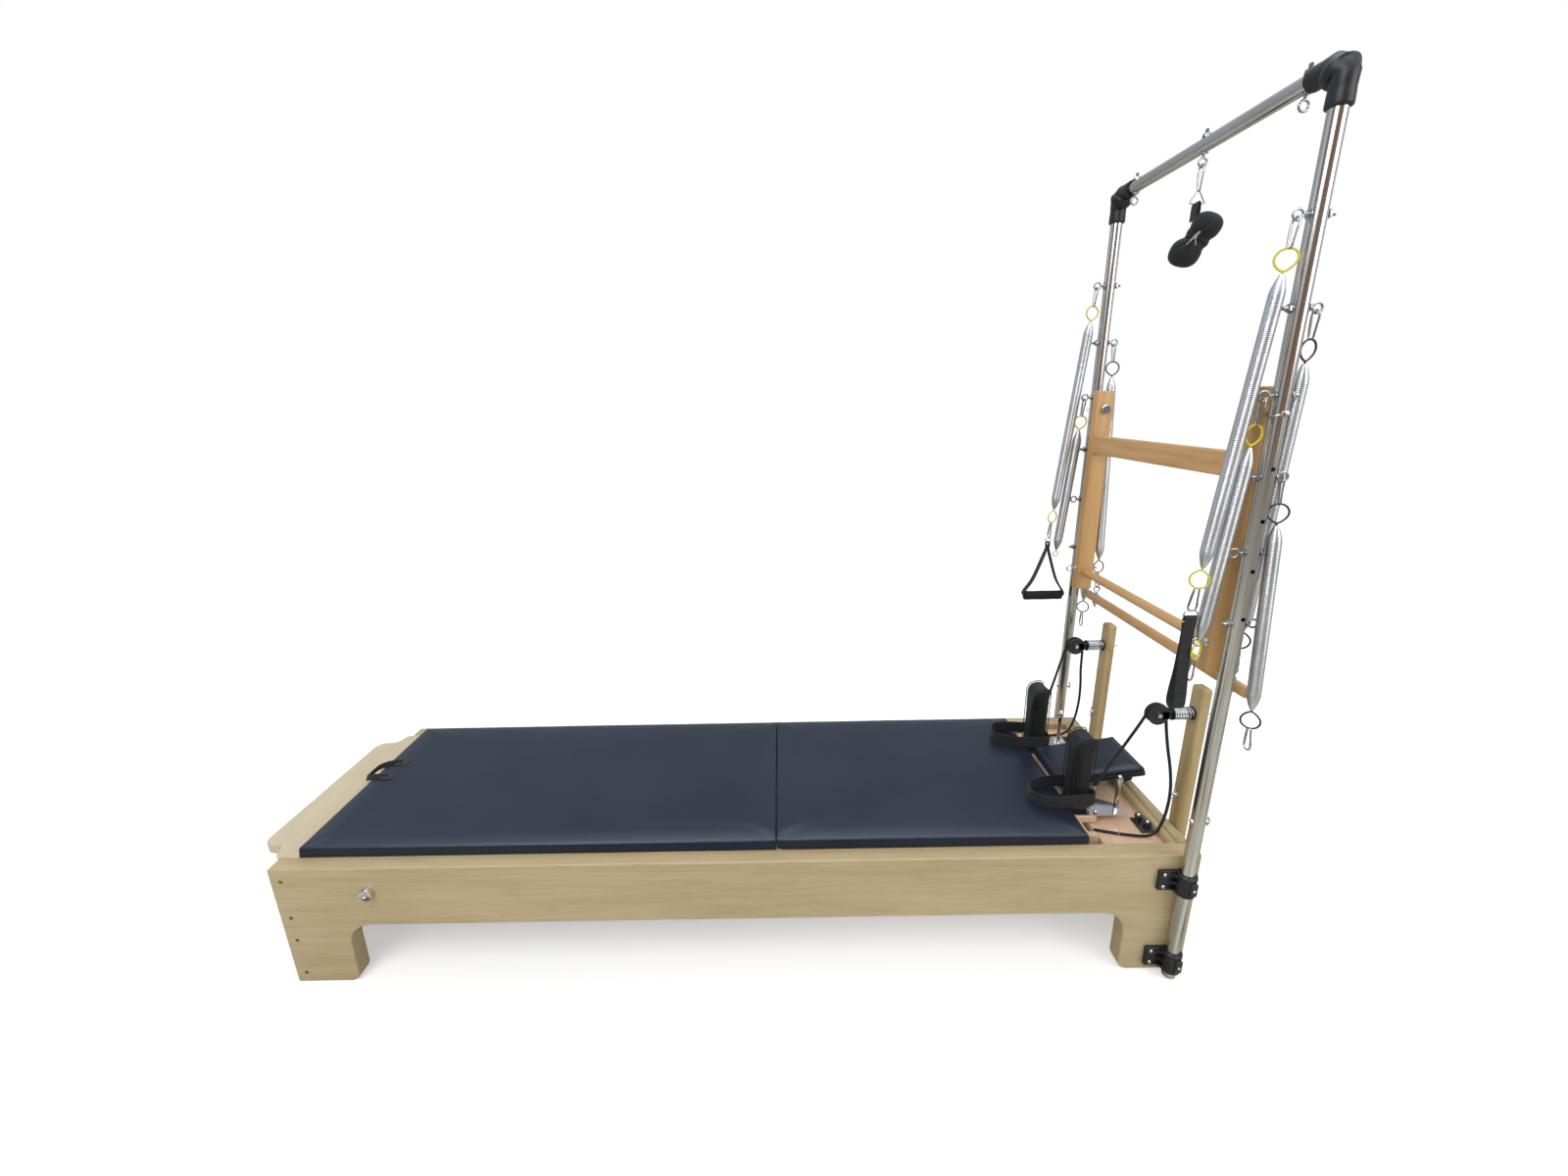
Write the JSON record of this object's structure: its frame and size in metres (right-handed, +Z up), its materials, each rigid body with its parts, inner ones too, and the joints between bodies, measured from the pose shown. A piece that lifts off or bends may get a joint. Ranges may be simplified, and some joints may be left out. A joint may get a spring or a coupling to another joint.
{
  "type": "pilates reformer with tower",
  "caption": "Wooden pilates reformer with a sliding padded carriage, a conversion mat and a steel tower of hanging springs.",
  "frame": {"origin": "floor under the middle of the whole, between the rails", "axes": "+X along the rails towards the tower at the head end, +Y across to the far rail, +Z up"},
  "size_m": [2.5306, 0.8352, 2.092],
  "materials": {
    "maple": "clear lacquered pale maple",
    "plywood": "satin plywood",
    "vinyl": "near-black vinyl with a soft sheen",
    "webbing": "black woven webbing",
    "rope": "black braided rope",
    "foam": "black foam rubber",
    "black_plastic": "black moulded plastic",
    "black_metal": "black powder coat",
    "wheel_rubber": "dark wheel tread",
    "steel": "polished steel tube",
    "spring_steel": "bright spring wire",
    "chrome": "bright chrome plate"
  },
  "bodies": {
    "frame": {"rail_near": "maple", "rail_far": "maple", "foot_end_board": "maple", "foot_plate": "maple", "head_end_board": "maple", "riser_near": "maple", "riser_far": "maple", "head_deck": "plywood", "rope_near": "rope", "rope_far": "rope", "elbow_near": "black_plastic", "elbow_far": "black_plastic", "clamp_upper_near": "black_plastic", "clamp_upper_far": "black_plastic", "clamp_lower_near": "black_plastic", "clamp_lower_far": "black_plastic", "cleat_near": "black_plastic", "cleat_far": "black_plastic", "pulley_block_near": "black_metal", "pulley_block_far": "black_metal", "upright_near": "steel", "upright_far": "steel", "top_bar": "steel", "pulley_spring_near": "spring_steel", "pulley_spring_far": "spring_steel", "footbar": "chrome"},
    "carriage": {"carriage_frame": "plywood", "carriage_springs": "spring_steel", "carriage_pad": "vinyl", "shoulder_rest_near": "vinyl", "shoulder_rest_far": "vinyl", "strap_post_near": "chrome", "strap_post_far": "chrome", "strap_loop_near": "webbing", "strap_loop_far": "webbing"},
    "mat": {"conversion_mat": "vinyl"},
    "headrest": {"headrest": "vinyl", "headrest_prop": "chrome"},
    "wheel_foot_near": {"wheel_foot_near": "wheel_rubber"},
    "wheel_foot_far": {"wheel_foot_far": "wheel_rubber"},
    "wheel_head_near": {"wheel_head_near": "wheel_rubber"},
    "wheel_head_far": {"wheel_head_far": "wheel_rubber"},
    "push_frame": {"push_arm_near": "maple", "push_arm_far": "maple", "push_crossbar": "maple", "push_dowel": "maple"},
    "roll_down": {"roll_spring_near": "spring_steel", "roll_spring_far": "spring_steel", "roll_down_bar": "maple"},
    "arm_spring_near": {"arm_spring_near": "spring_steel", "arm_strap": "webbing"},
    "arm_spring_far": {"arm_spring_far": "spring_steel", "hand_loop": "foam"},
    "leg_spring_near": {"leg_spring_near": "spring_steel"},
    "leg_spring_far": {"leg_spring_far": "spring_steel"},
    "tower_spring_near": {"tower_spring_near": "spring_steel"},
    "tower_spring_far": {"tower_spring_far": "spring_steel"},
    "cuff": {"ankle_cuff": "webbing"},
    "sheave_near": {"sheave_near": "black_plastic"},
    "sheave_far": {"sheave_far": "black_plastic"}
  },
  "joints": [
    {"name": "carriage_slide", "type": "slide", "parent": "frame", "child": "carriage", "axis": [1, 0, 0], "range_m": [-1, 0]},
    {"name": "mat_lift", "type": "slide", "parent": "carriage", "child": "mat", "axis": [0, 0, 1], "range_m": [0, 0.45]},
    {"name": "headrest_tilt", "type": "hinge", "parent": "carriage", "child": "headrest", "pos_m": [0.9707, 0, 0.386], "axis": [0, -1, 0], "range_deg": [0, 32]},
    {"name": "wheel_foot_near_spin", "type": "hinge", "parent": "carriage", "child": "wheel_foot_near", "pos_m": [0.2527, -0.2736, 0.2973], "axis": [0, 1, 0], "continuous": true},
    {"name": "wheel_foot_far_spin", "type": "hinge", "parent": "carriage", "child": "wheel_foot_far", "pos_m": [0.2527, 0.2736, 0.2973], "axis": [0, 1, 0], "continuous": true},
    {"name": "wheel_head_near_spin", "type": "hinge", "parent": "carriage", "child": "wheel_head_near", "pos_m": [0.8527, -0.2736, 0.2973], "axis": [0, 1, 0], "continuous": true},
    {"name": "wheel_head_far_spin", "type": "hinge", "parent": "carriage", "child": "wheel_head_far", "pos_m": [0.8527, 0.2736, 0.2973], "axis": [0, 1, 0], "continuous": true},
    {"name": "push_frame_swing", "type": "hinge", "parent": "frame", "child": "push_frame", "pos_m": [1.1827, 0, 1.455], "axis": [0, 1, 0], "range_deg": [0, 75]},
    {"name": "roll_down_swing", "type": "hinge", "parent": "frame", "child": "roll_down", "pos_m": [1.2187, 0, 1.654], "axis": [0, -1, 0], "range_deg": [0, 45]},
    {"name": "arm_spring_near_swing", "type": "hinge", "parent": "frame", "child": "arm_spring_near", "pos_m": [1.1467, -0.375, 1.817], "axis": [0, 1, 0], "range_deg": [0, 60]},
    {"name": "arm_spring_far_swing", "type": "hinge", "parent": "frame", "child": "arm_spring_far", "pos_m": [1.1467, 0.375, 1.817], "axis": [0, 1, 0], "range_deg": [0, 60]},
    {"name": "leg_spring_near_swing", "type": "hinge", "parent": "frame", "child": "leg_spring_near", "pos_m": [1.1467, -0.375, 1.4815], "axis": [-1, 0, 0], "range_deg": [0, 30]},
    {"name": "leg_spring_far_swing", "type": "hinge", "parent": "frame", "child": "leg_spring_far", "pos_m": [1.1467, 0.375, 1.4815], "axis": [1, 0, 0], "range_deg": [0, 30]},
    {"name": "tower_spring_near_swing", "type": "hinge", "parent": "frame", "child": "tower_spring_near", "pos_m": [1.2187, -0.375, 1.328], "axis": [0, -1, 0], "range_deg": [0, 45]},
    {"name": "tower_spring_far_swing", "type": "hinge", "parent": "frame", "child": "tower_spring_far", "pos_m": [1.2187, 0.375, 1.328], "axis": [0, -1, 0], "range_deg": [0, 45]},
    {"name": "cuff_swing", "type": "hinge", "parent": "frame", "child": "cuff", "pos_m": [1.1827, 0, 2.023], "axis": [0, 1, 0], "range_deg": [-40, 40]},
    {"name": "sheave_near_spin", "type": "hinge", "parent": "frame", "child": "sheave_near", "pos_m": [1.136, -0.229, 0.7], "axis": [0, 1, 0], "continuous": true},
    {"name": "sheave_far_spin", "type": "hinge", "parent": "frame", "child": "sheave_far", "pos_m": [1.136, 0.229, 0.7], "axis": [0, 1, 0], "continuous": true}
  ],
  "couplings": [
    {"joint": "wheel_foot_near_spin", "follows": "carriage_slide", "rad_per_m": 40},
    {"joint": "wheel_foot_far_spin", "follows": "carriage_slide", "rad_per_m": 40},
    {"joint": "wheel_head_near_spin", "follows": "carriage_slide", "rad_per_m": 40},
    {"joint": "wheel_head_far_spin", "follows": "carriage_slide", "rad_per_m": 40}
  ]
}
